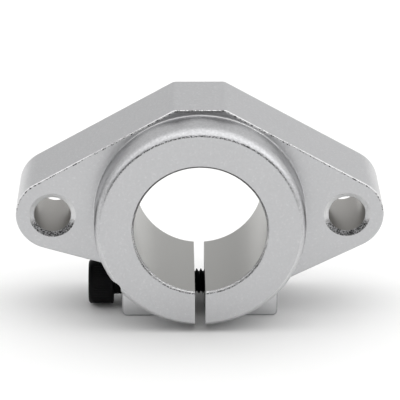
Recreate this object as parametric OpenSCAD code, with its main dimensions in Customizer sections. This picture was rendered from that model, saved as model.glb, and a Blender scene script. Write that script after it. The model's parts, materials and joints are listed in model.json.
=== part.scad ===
// Flange-mounted shaft support block with a split ring and a clamp screw.
// Origin: on the bore axis, in the plane of the flat mounting face.
// +X runs across the two mounting holes, +Z is up, and the ring faces -Y.

/* [Ring and bore] */
// Diameter of the shaft that the bore takes
shaft_d = 25; // [20:0.5:32]
// Thickness of the ring's wall around the bore
ring_wall = 7.5; // [6:0.25:10]
// Distance that the ring stands out from the flange
ring_h = 8; // [5:0.5:16]
// Radius on the ring's front outer edge
ring_round = 3; // [2.6:0.1:4]
// Distance that this radius runs back from the front face, which cuts it short
round_reach = 2.4; // [1.5:0.1:2.5]
// Radius in the corner between the ring and the flange
ring_root = 0.3; // [0.1:0.05:0.8]
// Chamfer at the ring's end of the bore
bore_chamfer = 0.4; // [0.2:0.05:1.5]

/* [Flange] */
// Thickness of the flange
flange_t = 17; // [14:0.5:24]
// Distance from the ring's side to the middle of each mounting hole
hole_reach = 8; // [6.5:0.25:14]
// Diameter of the two mounting holes
hole_d = 7; // [5:0.1:9]
// Width of the countersink at the front of each mounting hole
hole_sink = 0.9; // [0.2:0.05:1.4]
// Angle of this countersink from side to side
sink_angle = 120; // [82:1:130]
// Metal left around each mounting hole at the rounded ends
end_wall = 3.5; // [2.5:0.25:6]
// Height of the flat top above the ring
crown = 1; // [0.5:0.1:3]
// Length of the flat top
top_flat = 9; // [5:0.5:16]
// Radius where the flat top meets the slopes
top_corner = 1.5; // [0.5:0.25:4]
// Break on the long outer edges and the back edges of the holes
edge_break = 0.3; // [0.1:0.05:0.4]

/* [Clamp lug] */
// Width of the lug
lug_w = 30; // [26:0.5:36]
// Radius on the lug's two bottom corners
lug_corner = 1; // [0.75:0.05:3]
// Radius in the corners between the lug and the flange
lug_root = 1.2; // [0.6:0.1:1.6]
// Height of the lug's flat side away from the screw head
plain_side = 6; // [4:0.25:7]
// Width of the slit
slit_w = 2; // [1:0.1:3]

/* [Clamp screw] */
// Nominal diameter of the screw's thread
screw_d = 5; // [4:0.5:6]
// Length of the screw under its head
screw_l = 25; // [20:1:30]
// Diameter of the screw head
head_d = 8.5; // [7:0.1:10.2]
// Height of the screw head
head_h = 4.85; // [4:0.05:6.5]
// Width across the flats of the hexagon socket
socket_w = 4; // [2.5:0.1:5]
// Depth of the hexagon socket
socket_t = 2.5; // [1.5:0.1:3.2]
// Radius on the outer edge of the head
head_round = 0.5; // [0.2:0.05:1]
// Distance that the head stands off the lug before the clamp is tightened
stand_off = 1.65; // [0.25:0.1:3]
// Distance from the mounting face to the screw's axis
screw_back = 10.5; // [8:0.5:12]
// Metal left between the bore and the screw's plain hole
screw_web = 1.25; // [0.8:0.05:3]
// Gap between the head and the plane of the lug's foot
head_lift = 0.25; // [0.1:0.05:2]
// Flat left on the lug above the head
head_room = 0.35; // [0.2:0.05:2]
// Play on each side of the screw in its plain hole
plain_play = 0.25; // [0.1:0.05:0.5]
// Play on each side of the screw in its threaded hole
thread_play = 0.05; // [0.02:0.01:0.09]

/* [Hidden] */
$fn = 128;
reach = 1;     // how far a cutting shape runs past the surface that it cuts
nip = 0.05;    // the same for the edge breaks
seam = 0.0003; // straight edges are set this far inside their circles, so that the two always cross

bore_r = shaft_d / 2;
ring_r = bore_r + ring_wall;
block_l = flange_t + ring_h;
hole_r = hole_d / 2;
hole_x = ring_r + hole_reach;
end_r = hole_r + end_wall;
top_z = ring_r + crown;
plain_r = screw_d / 2 + plain_play;
screw_r = screw_d / 2 - thread_play;
head_r = head_d / 2;
screw_z = -(bore_r + screw_web + plain_r);
foot_z = screw_z - head_r - head_lift;
lug_x = lug_w / 2;
tip_break = screw_d / 8;
hole_break = 0.4;      // chamfer at the mouth of the threaded hole
underhead = 0.3;       // radius between the head and the shank
socket_cone = 0.8;     // depth of the drill point below the socket
SIDE_IN = 1;           // the belt runs round the outside of this circle
SIDE_OUT = -1;         // this circle bites into the outline

// The outline of the block is a belt that runs anticlockwise round these
// circles: [middle, radius, side]. Straight edges are their common tangents.
BELT = [
    [[hole_x, 0], end_r, SIDE_IN],
    [[top_flat / 2, top_z - top_corner], top_corner, SIDE_IN],
    [[-top_flat / 2, top_z - top_corner], top_corner, SIDE_IN],
    [[-hole_x, 0], end_r, SIDE_IN],
    [[-lug_x - lug_root, screw_z + head_r + head_room], lug_root, SIDE_OUT],
    [[-lug_x + lug_corner, foot_z + lug_corner], lug_corner, SIDE_IN],
    [[lug_x - lug_corner, foot_z + lug_corner], lug_corner, SIDE_IN],
    [[lug_x + lug_root, foot_z + plain_side], lug_root, SIDE_OUT]
];
TURNS = len(BELT);

function unit(angle) = [cos(angle), sin(angle)];
function after(i) = (i + 1) % TURNS;
function before(i) = (i + TURNS - 1) % TURNS;
function pull(i) = BELT[i][2] * (BELT[i][1] - seam);

// Direction, square to the straight edge from circle i to the next one, that
// points into the metal
function inward(i) =
    let (
        run = BELT[after(i)][0] - BELT[i][0],
        step = pull(after(i)) - pull(i)
    )
    atan2(run.y, run.x) + acos(step / norm(run));

// Points where the belt leaves circle i and where it arrives at it
function leave(i) = BELT[i][0] - pull(i) * unit(inward(i));
function arrive(i) = BELT[i][0] - pull(i) * unit(inward(before(i)));

// Angle through which the belt turns on circle i, anticlockwise positive
function turn(i) = (inward(i) - inward(before(i)) + 540) % 360 - 180;

// Outline of the flange, with the lug below it
module outline() {
    difference() {
        union() {
            polygon([for (i = [0 : TURNS - 1]) each [arrive(i), leave(i)]]);
            for (c = BELT) {
                if (c[2] == SIDE_IN) translate(c[0]) circle(c[1]);
            }
        }
        for (c = BELT) {
            if (c[2] == SIDE_OUT) translate(c[0]) circle(c[1]);
        }
    }
}

// Section that breaks an edge with two flats, which are chords of a radius of
// edge_break: x is outward from the edge, y is up through the face
module edge_section() {
    knee = edge_break * (cos(45) - 1);
    far = -edge_break - nip * tan(67.5);
    polygon([[far, nip], [knee, knee], [nip, far], [nip, nip]]);
}

// Cuts the straight edge after circle i, and runs on past its ends where the
// outline turns away from it
module straight_cutter(i) {
    edge_l = norm(arrive(after(i)) - leave(i));
    more_start = BELT[i][2] == SIDE_IN ? reach : 0;
    more_end = BELT[after(i)][2] == SIDE_IN ? reach : 0;
    translate(leave(i)) rotate(inward(i) + 180) rotate([90, 0, 0]) translate([0, 0, -edge_l - more_end])
        linear_extrude(more_start + edge_l + more_end) edge_section();
}

// Cuts the round edge at circle i
module corner_cutter(i) {
    radius = BELT[i][1];
    translate(BELT[i][0]) {
        if (BELT[i][2] == SIDE_IN) {
            rotate(inward(before(i)) + 180)
                rotate_extrude(angle = turn(i)) translate([radius, 0]) edge_section();
        } else {
            rotate_extrude() translate([radius, 0]) mirror([1, 0]) edge_section();
        }
    }
}

// Break the edge along the whole outline at the face z = 0, metal below it. The
// straight cutters and the round ones touch along tangents, so they stay apart.
module straight_cutters() {
    for (i = [0 : TURNS - 1]) straight_cutter(i);
}

module corner_cutters() {
    for (i = [0 : TURNS - 1]) corner_cutter(i);
}

module flange() {
    difference() {
        linear_extrude(flange_t) outline();
        translate([0, 0, flange_t]) straight_cutters();
        translate([0, 0, flange_t]) corner_cutters();
        mirror([0, 0, 1]) straight_cutters();
        mirror([0, 0, 1]) corner_cutters();
    }
}

// Half section of the ring, too long at the front: x from the bore axis, y
// from the mounting face
module ring_section() {
    difference() {
        union() {
            translate([0, flange_t - reach]) square([ring_r, ring_h + reach - round_reach]);
            translate([0, flange_t - reach]) square([ring_r - ring_round, ring_h + 2 * reach]);
            translate([ring_r - ring_round, block_l - round_reach]) circle(ring_round);
            translate([0, flange_t - reach]) square([ring_r + ring_root, reach + ring_root]);
        }
        translate([ring_r + ring_root, flange_t + ring_root]) circle(ring_root);
    }
}

// The front face cuts the ring's round edge short, and the ring keeps inside
// the outline, so the screw head's side trims it
module ring() {
    intersection() {
        linear_extrude(block_l) outline();
        rotate_extrude() ring_section();
    }
}

// A through hole along z, chamfered at the low end and countersunk at the high
// end to the given width and angle from side to side
module through_hole(r, length, low_chamfer, high_width, high_angle = 90) {
    slope = tan(high_angle / 2);
    sink_h = high_width / slope + reach;
    translate([0, 0, -reach]) cylinder(r = r, h = length + 2 * reach);
    translate([0, 0, -reach]) cylinder(r1 = r + low_chamfer + reach, r2 = r, h = low_chamfer + reach);
    translate([0, 0, length + reach - sink_h]) cylinder(r1 = r, r2 = r + sink_h * slope, h = sink_h);
}

// Hole for the clamp screw, along +x: plain up to the slit, threaded after it
module screw_hole() {
    rotate([0, 90, 0]) {
        translate([0, 0, -lug_x - reach]) cylinder(r = plain_r, h = lug_x + reach);
        cylinder(r = screw_d / 2, h = lug_x + reach);
        translate([0, 0, lug_x - hole_break])
            cylinder(r1 = screw_d / 2, r2 = screw_d / 2 + hole_break + reach, h = hole_break + reach);
    }
}

// The block lies on its mounting face here, with the ring upwards
module block_flat() {
    difference() {
        union() {
            flange();
            ring();
        }
        through_hole(bore_r, block_l, edge_break, bore_chamfer);
        for (side = [-1, 1]) {
            translate([side * hole_x, 0, 0])
                through_hole(hole_r, flange_t, edge_break, hole_sink, sink_angle);
        }
        translate([-slit_w / 2, foot_z - reach, -reach]) cube([slit_w, -foot_z + reach, block_l + 2 * reach]);
        translate([0, screw_z, screw_back]) screw_hole();
    }
}

module support_body() {
    color("silver") rotate([90, 0, 0]) block_flat();
}

// Half section of the screw: x from its axis, y from under the head to the tip
module screw_section() {
    difference() {
        union() {
            translate([0, -head_h]) square([head_r - head_round, head_h]);
            translate([0, head_round - head_h]) square([head_r, head_h - head_round]);
            translate([head_r - head_round, head_round - head_h]) circle(head_round);
            polygon([
                [0, 0], [screw_r, 0], [screw_r, screw_l - tip_break],
                [screw_r - tip_break, screw_l], [0, screw_l]
            ]);
            square([screw_r + underhead, underhead]);
        }
        translate([screw_r + underhead, underhead]) circle(underhead);
        mirror([1, 0]) translate([0, -head_h - reach]) square([head_r + reach, head_h + screw_l + 2 * reach]);
    }
}

// Hexagon socket cap screw, along +z from the underside of its head
module cap_screw() {
    socket_r = socket_w / 2 / cos(30);
    difference() {
        rotate_extrude() screw_section();
        translate([0, 0, -head_h - reach]) linear_extrude(socket_t + reach) circle(socket_r, $fn = 6);
        translate([0, 0, socket_t - head_h]) cylinder(r1 = socket_w / 2, r2 = 0, h = socket_cone);
    }
}

module clamp_screw() {
    color([0.1, 0.1, 0.11])
        translate([-lug_x - stand_off, -screw_back, screw_z]) rotate([0, 90, 0]) cap_screw();
}

support_body();
clamp_screw();
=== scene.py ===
import json
import math

import bmesh
import bpy
from mathutils import Matrix, Vector


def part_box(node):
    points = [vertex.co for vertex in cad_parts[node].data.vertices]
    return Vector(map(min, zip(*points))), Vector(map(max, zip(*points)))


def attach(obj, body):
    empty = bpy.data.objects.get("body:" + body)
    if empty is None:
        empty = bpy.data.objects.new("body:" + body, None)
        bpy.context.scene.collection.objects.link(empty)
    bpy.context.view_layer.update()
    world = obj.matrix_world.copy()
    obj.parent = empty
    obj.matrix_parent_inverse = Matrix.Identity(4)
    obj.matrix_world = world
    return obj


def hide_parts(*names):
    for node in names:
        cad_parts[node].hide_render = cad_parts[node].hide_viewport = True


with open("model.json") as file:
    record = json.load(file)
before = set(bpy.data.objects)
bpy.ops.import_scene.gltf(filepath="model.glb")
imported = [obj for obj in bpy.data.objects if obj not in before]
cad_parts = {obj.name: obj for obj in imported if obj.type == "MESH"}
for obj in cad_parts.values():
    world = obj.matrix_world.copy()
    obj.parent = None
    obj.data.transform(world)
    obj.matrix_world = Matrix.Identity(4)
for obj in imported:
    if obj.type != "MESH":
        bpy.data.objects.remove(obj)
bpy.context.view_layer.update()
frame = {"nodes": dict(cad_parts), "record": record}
mm = 0.001
print("frame loaded:", sorted(frame["nodes"]))

body = frame["nodes"]["support_body"]
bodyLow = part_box("support_body")[0]
screwLow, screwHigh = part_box("clamp_screw")
mounts = {mount["name"]: mount for mount in frame["record"]["mounts"]}
boreRadius = mounts["shaft_bore"]["dims"]["r_mm"]
holeRadius = mounts["bolt_holes"]["dims"]["hole_r_mm"]
holeOffset = mounts["bolt_holes"]["dims"]["spacing_x_mm"] / 2
nodesInRow = 12      # how the node editor lays out each tree
sharpAngle = 35      # in degrees, from which an edge of a turned piece stays crisp


def addNode(tree, kind, inputs=None, **settings):
    node = tree.nodes.new(kind)
    row, column = divmod(len(tree.nodes), nodesInRow)
    node.location = (180 * column, -160 * row)
    for name, value in settings.items():
        setattr(node, name, value)
    for key, value in (inputs or {}).items():
        plug(tree, node.inputs[key], value)
    return node


def plug(tree, socket, value):
    if isinstance(value, bpy.types.NodeSocket):
        tree.links.new(value, socket)
    else:
        socket.default_value = value


def calc(tree, operation, *values):
    return addNode(tree, "ShaderNodeMath", dict(enumerate(values)), operation=operation).outputs[0]


def allOf(tree, *masks):
    whole = masks[0]
    for mask in masks[1:]:
        whole = calc(tree, "MULTIPLY", whole, mask)
    return whole


def ramp(tree, value, fromLow, fromHigh, toLow=0.0, toHigh=1.0, smooth=False):
    node = addNode(tree, "ShaderNodeMapRange", {0: value, 1: fromLow, 2: fromHigh, 3: toLow, 4: toHigh})
    node.interpolation_type = "SMOOTHSTEP" if smooth else "LINEAR"
    return node.outputs[0]


def fade(tree, value, start, end):             # 1 up to the start, 0 from the end on
    return ramp(tree, value, start, end, 1, 0)


def above(tree, value, limit):
    return calc(tree, "GREATER_THAN", value, limit)


def below(tree, value, limit):
    return calc(tree, "LESS_THAN", value, limit)


def near(tree, value, middle, reach):
    return calc(tree, "COMPARE", value, middle, reach)


def apart(tree, value, line):                  # distance to either side of a line
    return calc(tree, "ABSOLUTE", calc(tree, "SUBTRACT", value, line))


def radiusFrom(tree, sideways, upwards):
    return calc(tree, "SQRT", calc(tree, "ADD", calc(tree, "MULTIPLY", sideways, sideways),
                                   calc(tree, "MULTIPLY", upwards, upwards)))


def split(tree, vector):
    return addNode(tree, "ShaderNodeSeparateXYZ", {0: vector}).outputs


def inMillimetres(tree, vector):
    return addNode(tree, "ShaderNodeVectorMath", {0: vector, 3: 1 / mm}, operation="SCALE").outputs[0]


def noise(tree, place, scale, detail, roughness=0.5):
    return addNode(tree, "ShaderNodeTexNoise", {
        "Vector": place, "Scale": scale, "Detail": detail, "Roughness": roughness}).outputs["Fac"]


def blend(tree, share, first, second):
    if isinstance(first, tuple) or isinstance(second, tuple) or getattr(first, "type", "") == "RGBA":
        node = addNode(tree, "ShaderNodeMix", {0: share, 6: first, 7: second}, data_type="RGBA")
        return node.outputs[2]
    return addNode(tree, "ShaderNodeMix", {0: share, 2: first, 3: second}).outputs[0]


def layer(tree, under, *layers):               # each layer is a mask and what shows there
    for mask, over in layers:
        under = blend(tree, mask, under, over)
    return under


def grey(level):
    return (level, level, level, 1)


def addSockets(tree, direction, sockets):
    for title, kind, *value in sockets:
        socket = tree.interface.new_socket(title, in_out=direction, socket_type=kind)
        if value:
            socket.default_value = value[0]


def newGroup(name, inputs, outputs):
    tree = bpy.data.node_groups.new(name, "ShaderNodeTree")
    addSockets(tree, "INPUT", inputs)
    addSockets(tree, "OUTPUT", outputs)
    return tree, addNode(tree, "NodeGroupInput").outputs, addNode(tree, "NodeGroupOutput").inputs


def useGroup(tree, group, inputs):
    node = addNode(tree, "ShaderNodeGroup")
    node.node_tree = group
    for key, value in inputs.items():
        plug(tree, node.inputs[key], value)
    return node.outputs


def newMaterial(name):
    material = bpy.data.materials.new(name)
    material.use_nodes = True
    material.node_tree.nodes.clear()
    return material, material.node_tree


def closeMaterial(tree, skin):
    addNode(tree, "ShaderNodeOutputMaterial", {"Surface": skin.outputs[0]})


def newObject(name, data):
    piece = bpy.data.objects.new(name, data)
    bpy.context.scene.collection.objects.link(piece)
    return piece


skinGrain = {      # the noise in every blasted or oxidised skin, and the levels it is cut at
    "noiseScale": 0.6, "noiseDetail": 3.0, "noiseRoughness": 0.6, "pitShare": 0.5,
    "fleckLevels": (0.35, 0.65), "sparkLevels": (0.62, 0.7),
    "cloudScale": 0.12, "cloudDetail": 2.0, "cloudLevels": (0.3, 0.7),
}
toolLines = {"detail": 3.0, "roughness": 0.7, "wander": 0.4, "wanderScale": 0.5, "wanderDetail": 1.0}


def makeGrainGroup():      # the pitted skin of a blasted or oxidised surface; heights are in mm
    look = skinGrain
    tree, given, result = newGroup(
        "blastedGrain",
        [("Place", "NodeSocketVector"), ("Grain", "NodeSocketFloat", 0.2),
         ("Depth", "NodeSocketFloat", 0.01)],
        [("Height", "NodeSocketFloat"), ("Fleck", "NodeSocketFloat"), ("Spark", "NodeSocketFloat"),
         ("Cloud", "NodeSocketFloat")])
    fine = calc(tree, "DIVIDE", 1.0, given["Grain"])
    pits = addNode(tree, "ShaderNodeTexVoronoi", {"Vector": given["Place"], "Scale": fine})
    rough = noise(tree, given["Place"], calc(tree, "MULTIPLY", fine, look["noiseScale"]),
                  look["noiseDetail"], look["noiseRoughness"])
    cloud = noise(tree, given["Place"], look["cloudScale"], look["cloudDetail"])
    mixed = calc(tree, "ADD", calc(tree, "MULTIPLY", pits.outputs["Distance"], look["pitShare"]), rough)
    plug(tree, result["Height"], calc(tree, "MULTIPLY", mixed, given["Depth"]))
    plug(tree, result["Fleck"], ramp(tree, rough, *look["fleckLevels"]))
    plug(tree, result["Spark"], ramp(tree, rough, *look["sparkLevels"]))
    plug(tree, result["Cloud"], ramp(tree, cloud, *look["cloudLevels"]))
    return tree


def makeToolLineGroup():   # fine lines that a cutting tool leaves across a given distance, in mm
    look = toolLines
    tree, given, result = newGroup(
        "toolLines",
        [("Across", "NodeSocketFloat", 0.0), ("Place", "NodeSocketVector"),
         ("Spacing", "NodeSocketFloat", 0.15), ("Depth", "NodeSocketFloat", 0.004)],
        [("Height", "NodeSocketFloat")])
    wander = noise(tree, given["Place"], look["wanderScale"], look["wanderDetail"])
    shifted = calc(tree, "ADD", calc(tree, "DIVIDE", given["Across"], given["Spacing"]),
                   calc(tree, "MULTIPLY", wander, look["wander"]))
    lines = addNode(tree, "ShaderNodeTexNoise", {
        "W": shifted, "Scale": 1.0, "Detail": look["detail"], "Roughness": look["roughness"]},
        noise_dimensions="1D")
    plug(tree, result["Height"], calc(tree, "MULTIPLY", lines.outputs["Fac"], given["Depth"]))
    return tree


grainGroup = makeGrainGroup()
toolLineGroup = makeToolLineGroup()


# lengths in mm; a tilt is a cosine to the Y axis, mostly with its reach, and other pairs say where a
# mask starts and ends
supportBlock = {
    "colour": (0.49, 0.492, 0.502, 1), "roughness": 0.28, "clouding": 0.04, "faceTilt": (0.93, 0.98),
    "grain": 0.26, "grainDepth": 0.012, "sideDepth": 2.2,
    "fleckColour": (0.62, 0.62, 0.63, 1), "faceFlecks": 0.2, "sideFlecks": 0.38, "faceSparks": 0.5,
    "nicks": (1.6, 4.0, 0.75), "chips": (3.2, 3.0, 0.85),      # scale, detail and roughness of the noise

    # bore, mounting holes and slit, with their tools' lines
    "wallSkin": (0.02, 0.06), "boreColour": (0.365, 0.362, 0.35, 1), "boreRoughness": 0.34,
    "boreLines": (0.12, 0.008), "holeColour": (0.35, 0.34, 0.325, 1), "holeRoughness": 0.36,
    "holeLines": (0.2, 0.014), "slitColour": (0.42, 0.42, 0.42, 1), "slitWidth": 2.0, "slitFacing": 0.9,
    "slitLines": (0.35, 0.02),      # spacing and depth

    # countersinks: painted light on the upper side; on the lower side chatter bumps, with painted shade and
    # painted glints in their colour
    "sinkWidth": 0.9, "sinkTilt": (0.866, 0.06), "sinkHeights": (-0.4, -2.2),
    "sinkColour": (0.66, 0.66, 0.665, 1), "chatterDark": (0.04, 0.04, 0.04, 1),
    "chatterLight": (0.6, 0.6, 0.61, 1), "chatterLevels": (0.46, 0.56), "chatterDepth": 0.05,

    # the bore's edge: a bright rim above, a chipped lip below
    "rimWidth": 0.4, "rimReach": 0.6, "rimTilt": (0.707, 0.1), "rimHeights": (-4, 4),
    "rimColour": (0.5, 0.5, 0.51, 1), "lipDark": (0.36, 0.36, 0.362, 1),
    "lipLight": (0.62, 0.62, 0.625, 1), "lipLevels": (0.42, 0.56),

    # the turned ring's round side, its underside lightened with painted light, and its root at the flange
    # with a painted highlight
    "ringReach": (20.1, 20.3), "ringDepth": 4, "ringGrain": 0.32, "ringGrainDepth": 0.04,
    "ringDark": (0.3, 0.3, 0.305, 1), "ringSpeckle": (0.25, 0.7, 0.26, 0),
    "underColour": (0.82, 0.82, 0.83, 1), "underShare": 0.7, "underHeights": (0, -10),
    "underTilt": (0.05, 0.6), "rootColour": (0.6, 0.6, 0.605, 1), "rootRadius": 20.03,
    "rootHeights": (11, 17), "rootPlace": (-17.16, 0.14),

    # painted shade: dark dashed lines where the ring's face meets its round side and along the bore's edge
    "burrColour": (0.04, 0.04, 0.041, 1), "dashLevels": (0.46, 0.52), "shoulderRadius": 18.8,
    "shoulderLine": 18.83, "shoulderBurr": (0.08, 0.2), "shoulderHeights": (3, 15),
    "rimBurr": (0.07, 0.18), "rimBurrHeights": (-4, -7),

    # the outline's edge break: two flats, nicked, with dark spots of painted shade, and painted highlights
    # on the slopes
    "breakRadius": 20.35, "breakFacing": 0.05, "frontFlatTilt": (0.924, 0.03),
    "sideFlatTilt": (0.383, 0.06), "nickColour": (0.12, 0.12, 0.123, 1), "nickLevels": (0.93, 1.03),
    "nickDepth": 0.04, "wornColour": (0.78, 0.78, 0.785, 1), "edgeRoughness": 0.26,
    "slopeFacing": 0.08, "slopeLevels": (0.53, 0.57), "slopeMiddle": (9, 12, 1, 0.3),
    "slopeEnds": (14, 24), "slopeFront": (0.64, 0.64, 0.645, 1), "slopeSide": (0.92, 0.92, 0.925, 1),
    "slopeMetal": 0.2,

    # the lug's front face, lightened with painted light
    "lugColour": (0.68, 0.683, 0.69, 1), "lugPlace": (-17.0, 0.2), "lugHeights": (-13.5, -15),
    "lugTilt": 0.97,
}


def findPlaces(tree, xyz, facing):      # a mask for each place that has a finish of its own
    look = supportBlock
    slack, wallEnd = look["wallSkin"]
    tilt = calc(tree, "ABSOLUTE", facing["Y"])
    sideways = calc(tree, "ABSOLUTE", xyz["X"])
    fromBore = radiusFrom(tree, xyz["X"], xyz["Z"])
    fromHole = radiusFrom(tree, calc(tree, "SUBTRACT", sideways, holeOffset), xyz["Z"])
    fromShoulder = apart(tree, fromBore, look["shoulderLine"])
    fromRim = apart(tree, fromBore, boreRadius + look["rimWidth"])
    atFront = below(tree, xyz["Y"], bodyLow.y / mm + look["ringDepth"])

    at = {"face": ramp(tree, tilt, *look["faceTilt"])}
    at["bore"] = fade(tree, fromBore, boreRadius + slack, boreRadius + wallEnd)
    at["hole"] = fade(tree, fromHole, holeRadius + slack, holeRadius + wallEnd)
    at["slit"] = allOf(tree, below(tree, sideways, look["slitWidth"] / 2 + slack),
                       above(tree, calc(tree, "ABSOLUTE", facing["X"]), look["slitFacing"]))
    at["sink"] = allOf(tree, below(tree, fromHole, holeRadius + look["sinkWidth"] + slack),
                       near(tree, tilt, *look["sinkTilt"]))
    at["rim"] = allOf(tree, below(tree, fromBore, boreRadius + look["rimReach"]),
                      near(tree, tilt, *look["rimTilt"]))
    at["ring"] = allOf(tree, fade(tree, fromBore, *look["ringReach"]),
                       calc(tree, "SUBTRACT", 1.0, at["face"]))
    # painted light on the ring's underside
    at["under"] = allOf(tree, ramp(tree, xyz["Z"], *look["underHeights"]),
                        ramp(tree, tilt, *look["underTilt"]), atFront,
                        above(tree, fromBore, look["shoulderRadius"] + slack), look["underShare"])
    # a painted highlight along the root of the ring
    at["root"] = allOf(tree, above(tree, fromBore, look["rootRadius"]),
                       ramp(tree, xyz["Z"], *look["rootHeights"]),
                       near(tree, xyz["Y"], *look["rootPlace"]))
    # painted light on the lug's front face
    at["lug"] = allOf(tree, near(tree, xyz["Y"], *look["lugPlace"]),
                      ramp(tree, xyz["Z"], *look["lugHeights"]), above(tree, tilt, look["lugTilt"]))
    # painted shade in dashes along the ring's shoulder and the bore's edge
    at["outerBurr"] = allOf(tree, atFront, fade(tree, fromShoulder, *look["shoulderBurr"]),
                            ramp(tree, xyz["Z"], *look["shoulderHeights"]))
    at["innerBurr"] = allOf(tree, atFront, fade(tree, fromRim, *look["rimBurr"]),
                            ramp(tree, xyz["Z"], *look["rimBurrHeights"]))

    onBreak = allOf(tree, above(tree, fromBore, look["breakRadius"]),
                    calc(tree, "SUBTRACT", 1.0, at["sink"]), above(tree, facing["Z"], look["breakFacing"]))
    at["frontFlat"] = allOf(tree, onBreak, near(tree, tilt, *look["frontFlatTilt"]))
    at["sideFlat"] = allOf(tree, onBreak, near(tree, tilt, *look["sideFlatTilt"]))
    at["slope"] = above(tree, calc(tree, "ABSOLUTE", facing["X"]), look["slopeFacing"])
    at["alongSlope"] = calc(tree, "MAXIMUM", ramp(tree, sideways, *look["slopeMiddle"]),
                            ramp(tree, sideways, *look["slopeEnds"]))
    return at


def makeBlockMaterial():
    look = supportBlock
    material, tree = newMaterial("blasted_aluminium")
    coords = addNode(tree, "ShaderNodeTexCoord").outputs
    place = inMillimetres(tree, coords["Object"])
    xyz = split(tree, place)
    at = findPlaces(tree, xyz, split(tree, coords["Normal"]))

    grain = useGroup(tree, grainGroup, {
        "Place": place, "Grain": look["grain"], "Depth": look["grainDepth"]})
    ringGrain = useGroup(tree, grainGroup, {
        "Place": place, "Grain": look["ringGrain"], "Depth": look["ringGrainDepth"]})
    lines = {}
    for wall in ("bore", "hole", "slit"):
        spacing, depth = look[wall + "Lines"]
        lines[wall] = useGroup(tree, toolLineGroup, {
            "Across": xyz["Y"], "Place": place, "Spacing": spacing, "Depth": depth})["Height"]
    nicks = noise(tree, place, *look["nicks"])
    chips = noise(tree, place, *look["chips"])
    # splits the edge break between dark spots of painted shade and, on the side flats, a painted highlight
    edgeShadeSplit = ramp(tree, calc(tree, "ADD", nicks, chips), *look["nickLevels"])
    dashes = ramp(tree, chips, *look["dashLevels"])
    # painted highlights along the slopes' edge break
    worn = allOf(tree, at["slope"], fade(tree, nicks, *look["slopeLevels"]))
    frontHighlightMask = allOf(tree, at["frontFlat"], worn)
    sideHighlightMask = allOf(tree, at["sideFlat"], allOf(tree, worn, at["alongSlope"]))

    flecks = blend(tree, at["face"], look["sideFlecks"], look["faceFlecks"])
    sparks = blend(tree, at["face"], 1.0, look["faceSparks"])
    speckle = ramp(tree, ringGrain["Fleck"], *look["ringSpeckle"])
    # painted shade with painted glints on the countersink's lower side
    chatterShadeAndGlint = blend(tree, ramp(tree, chips, *look["chatterLevels"]), look["chatterDark"],
                    look["chatterLight"])
    sinkLow = ramp(tree, xyz["Z"], *look["sinkHeights"], smooth=True)
    lip = blend(tree, ramp(tree, chips, *look["lipLevels"]), look["lipDark"], look["lipLight"])
    colour = layer(
        tree, look["colour"],
        (allOf(tree, grain["Fleck"], flecks), look["fleckColour"]),
        (allOf(tree, grain["Spark"], sparks), look["fleckColour"]),
        (allOf(tree, at["ring"], speckle), look["ringDark"]),
        (at["bore"], look["boreColour"]),
        (at["hole"], look["holeColour"]),
        (at["slit"], look["slitColour"]),
        # the countersink: painted light on top, painted shade and painted glints below
        (at["sink"], blend(tree, sinkLow, look["sinkColour"], chatterShadeAndGlint)),
        # painted light on the lug's front face
        (at["lug"], look["lugColour"]),
        # edge break: dark spots of painted shade, and painted highlights on the slopes
        (allOf(tree, at["frontFlat"], edgeShadeSplit), look["nickColour"]),
        (at["sideFlat"], blend(tree, edgeShadeSplit, look["nickColour"], look["wornColour"])),
        (frontHighlightMask, look["slopeFront"]),
        (sideHighlightMask, look["slopeSide"]),
        # painted light on the ring's underside, and a painted highlight at the ring's root
        (at["under"], look["underColour"]),
        (at["root"], look["rootColour"]),
        (at["rim"], blend(tree, ramp(tree, xyz["Z"], *look["rimHeights"]), lip, look["rimColour"])),
        # dashed lines of painted shade
        (allOf(tree, at["outerBurr"], dashes), look["burrColour"]),
        (allOf(tree, at["innerBurr"], dashes), look["burrColour"]))

    onEdge = calc(tree, "MAXIMUM", calc(tree, "MAXIMUM", at["frontFlat"], at["sideFlat"]), at["rim"])
    roughness = layer(
        tree, calc(tree, "ADD", look["roughness"],
                   calc(tree, "MULTIPLY", grain["Cloud"], look["clouding"])),
        (at["bore"], look["boreRoughness"]),
        (calc(tree, "MAXIMUM", at["hole"], at["slit"]), look["holeRoughness"]),
        (onEdge, look["edgeRoughness"]))
    # the painted highlights on the slopes' edges are made mostly non-metallic, so they read pale
    metal = blend(tree, calc(tree, "MAXIMUM", frontHighlightMask, sideHighlightMask), 1.0, look["slopeMetal"])
    height = layer(
        tree, calc(tree, "MULTIPLY", grain["Height"], blend(tree, at["face"], look["sideDepth"], 1.0)),
        (at["ring"], ringGrain["Height"]), (at["bore"], lines["bore"]),
        (at["hole"], lines["hole"]), (at["slit"], lines["slit"]))
    height = calc(tree, "ADD", height, allOf(tree, at["sink"], chips, look["chatterDepth"]))
    height = calc(tree, "ADD", height, allOf(tree, onEdge, nicks, look["nickDepth"]))
    bump = addNode(tree, "ShaderNodeBump", {"Height": height, "Distance": mm, "Strength": 1.0})
    closeMaterial(tree, addNode(tree, "ShaderNodeBsdfPrincipled", {
        "Base Color": colour, "Metallic": metal, "Roughness": roughness, "Normal": bump.outputs["Normal"]}))
    return material


blockMaterial = makeBlockMaterial()
body.data.materials.clear()
body.data.materials.append(blockMaterial)
print("block finished")


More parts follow.
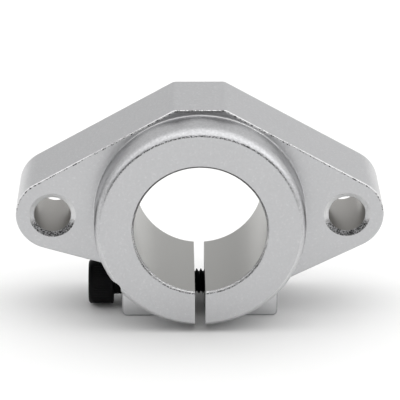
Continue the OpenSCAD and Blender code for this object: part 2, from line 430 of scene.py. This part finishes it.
clampScrew = {
    "pitch": 0.8, "shankRadius": 2.45, "threadDepth": 0.49, "rootShare": 0.125, "crestShare": 0.4375,
    "threadStart": 0.9, "runOut": 1.2, "ringsPerTurn": 14, "shankSides": 64,
    "tipChamfer": 0.625, "tipRings": 8, "underhead": 0.3, "underheadRings": 4, "seatInset": 0.3,
    "headHeight": 4.85, "headRound": 0.6, "roundRings": 6, "headEdge": 0.2, "bandRings": 12,
    "socketWidth": 4.0, "socketDepth": 2.5, "socketLead": 0.45, "leadSlope": 0.58, "drillCone": 0.8,
    "socketSides": 96, "crownInset": 0.4, "floorInset": 0.1,
    "knurlTeeth": 64, "sidesPerTooth": 4, "knurlDepth": 0.08, "knurlMargin": 0.35, "knurlTop": 0.1,
    "knurlSkin": 0.05, "colour": (0.004, 0.004, 0.0045, 1), "worn": (0.008, 0.008, 0.008, 1),
    "wornShare": 0.3, "roughness": 0.42, "clouding": 0.08, "gloss": 0.08, "grain": 0.12,
    "grainDepth": 0.004,
}
screwAxis = Vector(((screwLow.x + clampScrew["headHeight"] * mm),
                    (screwLow.y + screwHigh.y) / 2, (screwLow.z + screwHigh.z) / 2))
shankLength = (screwHigh.x - screwAxis.x) / mm
headRadius = (screwHigh.y - screwLow.y) / 2 / mm


def makeRing(mesh, along, radius, sides):      # a ring of points round the screw's axis, X
    ring = []
    for i in range(sides):
        angle = 2 * math.pi * i / sides
        reach = radius(angle) if callable(radius) else radius
        depth = along(angle) if callable(along) else along
        ring.append(mesh.verts.new((depth, reach * math.cos(angle), reach * math.sin(angle))))
    return ring


def joinRings(mesh, first, second):            # the second ring has as many points or a multiple
    step = len(second) // len(first)
    for i in range(len(first)):
        close, far = first[i], first[(i + 1) % len(first)]
        for k in range(step - 1):
            mesh.faces.new((close, second[i * step + k], second[i * step + k + 1]))
        last = i * step + step - 1
        mesh.faces.new((close, second[last], second[(last + 1) % len(second)], far))


def bridgeRings(mesh, *rings):                 # two rings whose counts don't divide
    edges = []
    for ring in rings:
        for pair in zip(ring, ring[1:] + ring[:1]):
            edges.append(mesh.edges.get(pair) or mesh.edges.new(pair))
    bmesh.ops.bridge_loops(mesh, edges=edges)


def closeRing(mesh, ring, along):
    centre = mesh.verts.new((along, 0, 0))
    for i in range(len(ring)):
        mesh.faces.new((ring[i], ring[(i + 1) % len(ring)], centre))


def finishMesh(name, mesh):
    bmesh.ops.recalc_face_normals(mesh, faces=mesh.faces)
    data = bpy.data.meshes.new(name)
    mesh.to_mesh(data)
    mesh.free()
    return newObject(name, data)


def screwProfile(size):      # each ring's place along the axis, radius and sides, from tip to crown
    sides, headSides = size["shankSides"], size["knurlTeeth"] * size["sidesPerTooth"]
    shank, chamfer, under = size["shankRadius"], size["tipChamfer"], size["underhead"]
    rows = []
    for i in range(size["tipRings"] + 1):
        share = i / size["tipRings"]
        rows.append((shankLength - share * chamfer, shank - (1 - share) * chamfer, sides))
    tip = shankLength - chamfer
    count = int((tip - under) / (size["pitch"] / size["ringsPerTurn"]))
    for i in range(1, count + 1):
        rows.append((tip - (tip - under) * i / count, shank, sides))
    for i in range(1, size["underheadRings"] + 1):
        turn = math.radians(90 * i / size["underheadRings"])
        rows.append((under * (1 - math.sin(turn)), shank + under * (1 - math.cos(turn)), sides))
    rows.append((0, headRadius - size["headEdge"] - size["seatInset"], sides * 2))
    rows.append((0, headRadius - size["headEdge"], headSides))
    rows.append((-size["headEdge"], headRadius, headSides))
    bandEnd = size["headRound"] - size["headHeight"]
    for i in range(1, size["bandRings"] + 1):
        rows.append((-size["headEdge"] + (bandEnd + size["headEdge"]) * i / size["bandRings"], headRadius,
                     headSides))
    for i in range(1, size["roundRings"] + 1):
        turn = math.radians(90 * i / size["roundRings"])
        rows.append((bandEnd - size["headRound"] * math.sin(turn),
                     headRadius - size["headRound"] * (1 - math.cos(turn)), headSides))
    return rows


def sinkSocket(mesh, size, crown):      # lead-in cone, hexagon walls, flat floor and drill cone
    top, sides = -size["headHeight"], size["socketSides"]
    floor = top + size["socketDepth"]
    lead = size["socketWidth"] / 2 + size["socketLead"]
    facet = math.pi / 3

    def wall(angle):                    # distance to the hexagon's side in that direction
        return size["socketWidth"] / 2 / math.cos((angle % facet) - facet / 2)

    def leadEnd(angle):
        return top + (lead - wall(angle)) * size["leadSlope"]

    mouth = makeRing(mesh, leadEnd, wall, sides)
    outer = makeRing(mesh, top, headRadius - size["headRound"] - size["crownInset"], sides)
    inner = makeRing(mesh, top, lead, sides)
    foot = makeRing(mesh, floor, wall, sides)
    base = makeRing(mesh, floor, size["socketWidth"] / 2 - size["floorInset"], sides)
    bridgeRings(mesh, crown, outer)
    for first, second in ((outer, inner), (inner, mouth), (mouth, foot), (foot, base)):
        joinRings(mesh, first, second)
    closeRing(mesh, base, floor + size["drillCone"])


def makeScrewBlank():
    mesh = bmesh.new()
    rings = [makeRing(mesh, *row) for row in screwProfile(clampScrew)]
    for first, second in zip(rings, rings[1:]):
        joinRings(mesh, first, second)
    closeRing(mesh, rings[0][::-1], shankLength)
    sinkSocket(mesh, clampScrew, rings[-1])
    return finishMesh("clamp_screw_detail", mesh)


def makeRollingTree():     # pushes points in towards the axis X, along a helix and in knurled grooves
    tree = bpy.data.node_groups.new("rollThreadAndKnurl", "GeometryNodeTree")
    addSockets(tree, "INPUT", [
        ("Geometry", "NodeSocketGeometry"), ("Pitch", "NodeSocketFloat", 0.8),
        ("Thread Depth", "NodeSocketFloat", 0.49), ("Major Radius", "NodeSocketFloat", 2.45),
        ("Root Share", "NodeSocketFloat", 0.125), ("Crest Share", "NodeSocketFloat", 0.4375),
        ("Thread From", "NodeSocketFloat", 0.9), ("Thread To", "NodeSocketFloat", 25.0),
        ("Run Out", "NodeSocketFloat", 1.2), ("Knurl Teeth", "NodeSocketFloat", 64.0),
        ("Knurl Depth", "NodeSocketFloat", 0.16), ("Knurl From", "NodeSocketFloat", -4.0),
        ("Knurl To", "NodeSocketFloat", -0.5), ("Knurl Radius", "NodeSocketFloat", 4.2),
        ("Finish", "NodeSocketMaterial")])
    addSockets(tree, "OUTPUT", [("Geometry", "NodeSocketGeometry")])
    given = addNode(tree, "NodeGroupInput").outputs
    xyz = split(tree, addNode(tree, "GeometryNodeInputPosition").outputs[0])
    radius = radiusFrom(tree, xyz["Y"], xyz["Z"])
    turn = calc(tree, "DIVIDE", calc(tree, "ARCTAN2", xyz["Z"], xyz["Y"]), 2 * math.pi)
    slack, knurlFade = 0.01, 0.3

    along = calc(tree, "DIVIDE", xyz["X"], given["Pitch"])
    phase = calc(tree, "FRACT", calc(tree, "SUBTRACT", along, turn))
    groove = fade(tree, apart(tree, phase, 0.5), given["Root Share"], given["Crest Share"])
    runIn = ramp(tree, xyz["X"], given["Thread From"],
                 calc(tree, "ADD", given["Thread From"], given["Run Out"]))
    onShank = below(tree, radius, calc(tree, "ADD", given["Major Radius"], slack))
    pastHead = above(tree, xyz["X"], 0.0)
    cut = allOf(tree, groove, runIn, below(tree, xyz["X"], given["Thread To"]), onShank, pastHead,
                given["Thread Depth"])
    threaded = calc(tree, "MINIMUM", radius, calc(tree, "SUBTRACT", given["Major Radius"], cut))

    tooth = calc(tree, "FRACT", calc(tree, "MULTIPLY", turn, given["Knurl Teeth"]))
    valley = apart(tree, calc(tree, "MULTIPLY", tooth, 2.0), 1.0)
    rise = ramp(tree, xyz["X"], given["Knurl From"], calc(tree, "ADD", given["Knurl From"], knurlFade))
    fall = fade(tree, xyz["X"], calc(tree, "SUBTRACT", given["Knurl To"], knurlFade), given["Knurl To"])
    onHead = above(tree, radius, given["Knurl Radius"])
    dent = allOf(tree, valley, rise, fall, onHead, given["Knurl Depth"])
    knurled = calc(tree, "SUBTRACT", radius, dent)
    target = blend(tree, allOf(tree, onShank, pastHead), knurled, threaded)

    share = calc(tree, "DIVIDE", target, calc(tree, "MAXIMUM", radius, 1e-6))
    moved = addNode(tree, "ShaderNodeCombineXYZ", {
        0: xyz["X"], 1: calc(tree, "MULTIPLY", xyz["Y"], share),
        2: calc(tree, "MULTIPLY", xyz["Z"], share)})
    shaped = addNode(tree, "GeometryNodeSetPosition", {
        "Geometry": given["Geometry"], "Position": moved.outputs[0]})
    joined = addNode(tree, "GeometryNodeRealizeInstances", {"Geometry": shaped.outputs[0]})
    painted = addNode(tree, "GeometryNodeSetMaterial", {
        "Geometry": joined.outputs[0], "Material": given["Finish"]})
    addNode(tree, "NodeGroupOutput", {0: painted.outputs[0]})
    return tree


def applyTree(piece, tree, values):            # runs the tree on the piece and keeps the plain mesh
    modifier = piece.modifiers.new(tree.name, "NODES")
    modifier.node_group = tree
    names = {item.name: item.identifier for item in tree.interface.items_tree if item.in_out == "INPUT"}
    for title, value in values.items():
        modifier[names[title]] = value
    shown = piece.evaluated_get(bpy.context.evaluated_depsgraph_get())
    data = bpy.data.meshes.new_from_object(shown)
    data.name = piece.name
    piece.modifiers.clear()
    piece.data = data
    return piece


def placeOnAxis(piece):      # from millimetres under the screw head to the frame's metres
    piece.data.transform(Matrix.Translation(screwAxis) @ Matrix.Scale(mm, 4))
    for face in piece.data.polygons:
        face.use_smooth = True
    piece.data.set_sharp_from_angle(angle=math.radians(sharpAngle))


def makeScrewMaterial():
    look = clampScrew
    material, tree = newMaterial("black_oxide")
    place = inMillimetres(tree, addNode(tree, "ShaderNodeTexCoord").outputs["Object"])
    grain = useGroup(tree, grainGroup, {
        "Place": place, "Grain": look["grain"], "Depth": look["grainDepth"]})
    colour = blend(tree, calc(tree, "MULTIPLY", grain["Fleck"], look["wornShare"]), look["colour"],
                   look["worn"])
    roughness = calc(tree, "ADD", look["roughness"],
                     calc(tree, "MULTIPLY", grain["Cloud"], look["clouding"]))
    bump = addNode(tree, "ShaderNodeBump", {"Height": grain["Height"], "Distance": mm, "Strength": 1.0})
    closeMaterial(tree, addNode(tree, "ShaderNodeBsdfPrincipled", {
        "Base Color": colour, "Metallic": 0.0, "Roughness": roughness, "Specular IOR Level": look["gloss"],
        "Normal": bump.outputs["Normal"]}))
    return material


rollingTree = makeRollingTree()
screwMaterial = makeScrewMaterial()
screw = applyTree(makeScrewBlank(), rollingTree, {
    "Pitch": clampScrew["pitch"], "Thread Depth": clampScrew["threadDepth"],
    "Major Radius": clampScrew["shankRadius"], "Root Share": clampScrew["rootShare"],
    "Crest Share": clampScrew["crestShare"], "Thread From": clampScrew["threadStart"],
    "Thread To": shankLength + 1, "Run Out": clampScrew["runOut"],
    "Knurl Teeth": float(clampScrew["knurlTeeth"]), "Knurl Depth": clampScrew["knurlDepth"],
    "Knurl From": -clampScrew["headHeight"] + clampScrew["headRound"] + clampScrew["knurlTop"],
    "Knurl To": -clampScrew["knurlMargin"], "Knurl Radius": headRadius - clampScrew["knurlSkin"],
    "Finish": screwMaterial})
placeOnAxis(screw)
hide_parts("clamp_screw")
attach(screw, "screw")
print("screw made:", len(screw.data.polygons), "faces")


lugThread = {
    "from": 1.03, "to": 14.6, "rootRadius": 2.475, "backRadius": 2.53, "depth": 0.405, "rootShare": 0.155,
    "crestShare": 0.4, "cutFrom": 1.0, "cutTo": 40.0, "sides": 64,
}


def makeThreadSleeve():    # the lug's inside thread, cut in step with the screw's
    size = lugThread
    mesh = bmesh.new()
    start, end = (size[key] - screwAxis.x / mm for key in ("from", "to"))
    count = int((end - start) / clampScrew["pitch"] * clampScrew["ringsPerTurn"])
    rings = [makeRing(mesh, start, size["backRadius"], size["sides"])]
    for i in range(count + 1):
        rings.append(makeRing(mesh, start + (end - start) * i / count, size["rootRadius"], size["sides"]))
    rings.append(makeRing(mesh, end, size["backRadius"], size["sides"]))
    for first, second in zip(rings, rings[1:] + rings[:1]):
        joinRings(mesh, first, second)
    return finishMesh("lug_thread", mesh)


sleeve = applyTree(makeThreadSleeve(), rollingTree, {
    "Pitch": clampScrew["pitch"], "Thread Depth": lugThread["depth"],
    "Major Radius": lugThread["rootRadius"], "Root Share": lugThread["rootShare"],
    "Crest Share": lugThread["crestShare"], "Thread From": lugThread["cutFrom"],
    "Thread To": lugThread["cutTo"], "Knurl Depth": 0.0, "Finish": blockMaterial})
placeOnAxis(sleeve)
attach(sleeve, "block")
print("lug thread made:", len(sleeve.data.polygons), "faces")


studio = {      # the band runs from the front over the top: degrees and level
    "band": [(0, 0.9), (10, 0.7), (17, 0.12), (45, 0.1), (52, 0.55), (60, 1.1), (70, 1.6), (84, 1.75),
             (100, 1.7), (112, 1.42), (124, 1.12), (136, 0.92), (156, 0.87), (168, 0.78), (180, 0.76)],
    "sideLevel": 0.4, "sideEdge": (0.22, 0.42), "sideTop": (48, 58), "lean": 0.17,
    "floorSize": 6.0, "floorColour": (0.93, 0.93, 0.925, 1),
    "boxSize": 0.75, "boxHeight": 0.75, "boxBack": 0.12, "boxPower": 0.5,
}
frontCamera = {
    "place": (-5.59, -463.26, 181.01), "turnRight": 0.72, "lookDown": 21.74, "roll": 0.10,
    "lens": 228.15, "sensor": 36.0,
}


def makeFloor():
    data = bpy.data.meshes.new("floor")
    half, low = studio["floorSize"] / 2, bodyLow.z
    data.from_pydata([(-half, -half, low), (half, -half, low), (half, half, low), (-half, half, low)], [],
                     [(0, 1, 2, 3)])
    floor = newObject("floor", data)
    material, tree = newMaterial("white_floor")
    closeMaterial(tree, addNode(tree, "ShaderNodeBsdfDiffuse", {"Color": studio["floorColour"]}))
    data.materials.append(material)


def makeWorld():
    world = bpy.data.worlds.new("studio")
    world.use_nodes = True
    tree = world.node_tree
    tree.nodes.clear()
    ray = addNode(tree, "ShaderNodeLightPath").outputs
    direction = split(tree, addNode(tree, "ShaderNodeTexCoord").outputs["Generated"])
    overTop = calc(tree, "DIVIDE", calc(tree, "ARCTAN2", direction["Z"],
                                        calc(tree, "MULTIPLY", direction["Y"], -1.0)), math.pi)
    band = addNode(tree, "ShaderNodeValToRGB", {"Fac": overTop})
    stops = band.color_ramp.elements
    top = max(level for angle, level in studio["band"])
    while len(stops) < len(studio["band"]):
        stops.new(0.5)
    for stop, (angle, level) in zip(stops, studio["band"]):
        stop.position = angle / 180
        stop.color = grey(level / top)
    flat = radiusFrom(tree, direction["X"], direction["Y"])
    sideways = calc(tree, "DIVIDE", calc(tree, "ABSOLUTE", direction["X"]), flat)
    aside = ramp(tree, sideways, *studio["sideEdge"], smooth=True)
    ahead = fade(tree, overTop, *(angle / 180 for angle in studio["sideTop"]))
    level = blend(tree, calc(tree, "MULTIPLY", aside, ahead),
                  calc(tree, "MULTIPLY", band.outputs["Color"], top), studio["sideLevel"])
    lean = ramp(tree, direction["X"], -1, 1, 1 - studio["lean"], 1 + studio["lean"])
    level = calc(tree, "MAXIMUM", calc(tree, "MULTIPLY", level, lean), ray["Is Camera Ray"])
    sky = addNode(tree, "ShaderNodeBackground", {"Color": grey(1), "Strength": level})
    addNode(tree, "ShaderNodeOutputWorld", {"Surface": sky.outputs[0]})
    bpy.context.scene.world = world


def addSoftbox(name, place, aim, size, power):
    light = bpy.data.lights.new(name, "AREA")
    light.shape = "RECTANGLE"
    light.size, light.size_y = size
    light.energy = power
    box = newObject(name, light)
    box.location = place
    box.rotation_euler = (Vector(aim) - Vector(place)).to_track_quat("-Z", "Y").to_euler()
    box.visible_glossy = False


def makeCamera():
    view = frontCamera
    yaw, pitch, roll = (math.radians(view[key]) for key in ("turnRight", "lookDown", "roll"))
    ahead = Vector((math.sin(yaw) * math.cos(pitch), math.cos(yaw) * math.cos(pitch), -math.sin(pitch)))
    right = ahead.cross(Vector((0, 0, 1))).normalized()
    up = right.cross(ahead)
    tiltedRight = right * math.cos(roll) + up * math.sin(roll)
    tiltedUp = up * math.cos(roll) - right * math.sin(roll)
    turn = Matrix((tiltedRight, tiltedUp, -ahead)).transposed().to_4x4()
    data = bpy.data.cameras.new("frontView")
    data.lens, data.sensor_width = view["lens"], view["sensor"]
    camera = newObject("frontView", data)
    camera.matrix_world = Matrix.Translation(Vector(view["place"]) * mm) @ turn
    bpy.context.scene.camera = camera


makeFloor()
makeWorld()
addSoftbox("topSoftbox", (0, studio["boxBack"], studio["boxHeight"]), (0, 0, 0),
           (studio["boxSize"], studio["boxSize"]), studio["boxPower"])
makeCamera()
bpy.context.scene.view_settings.view_transform = "Standard"
print("studio ready")
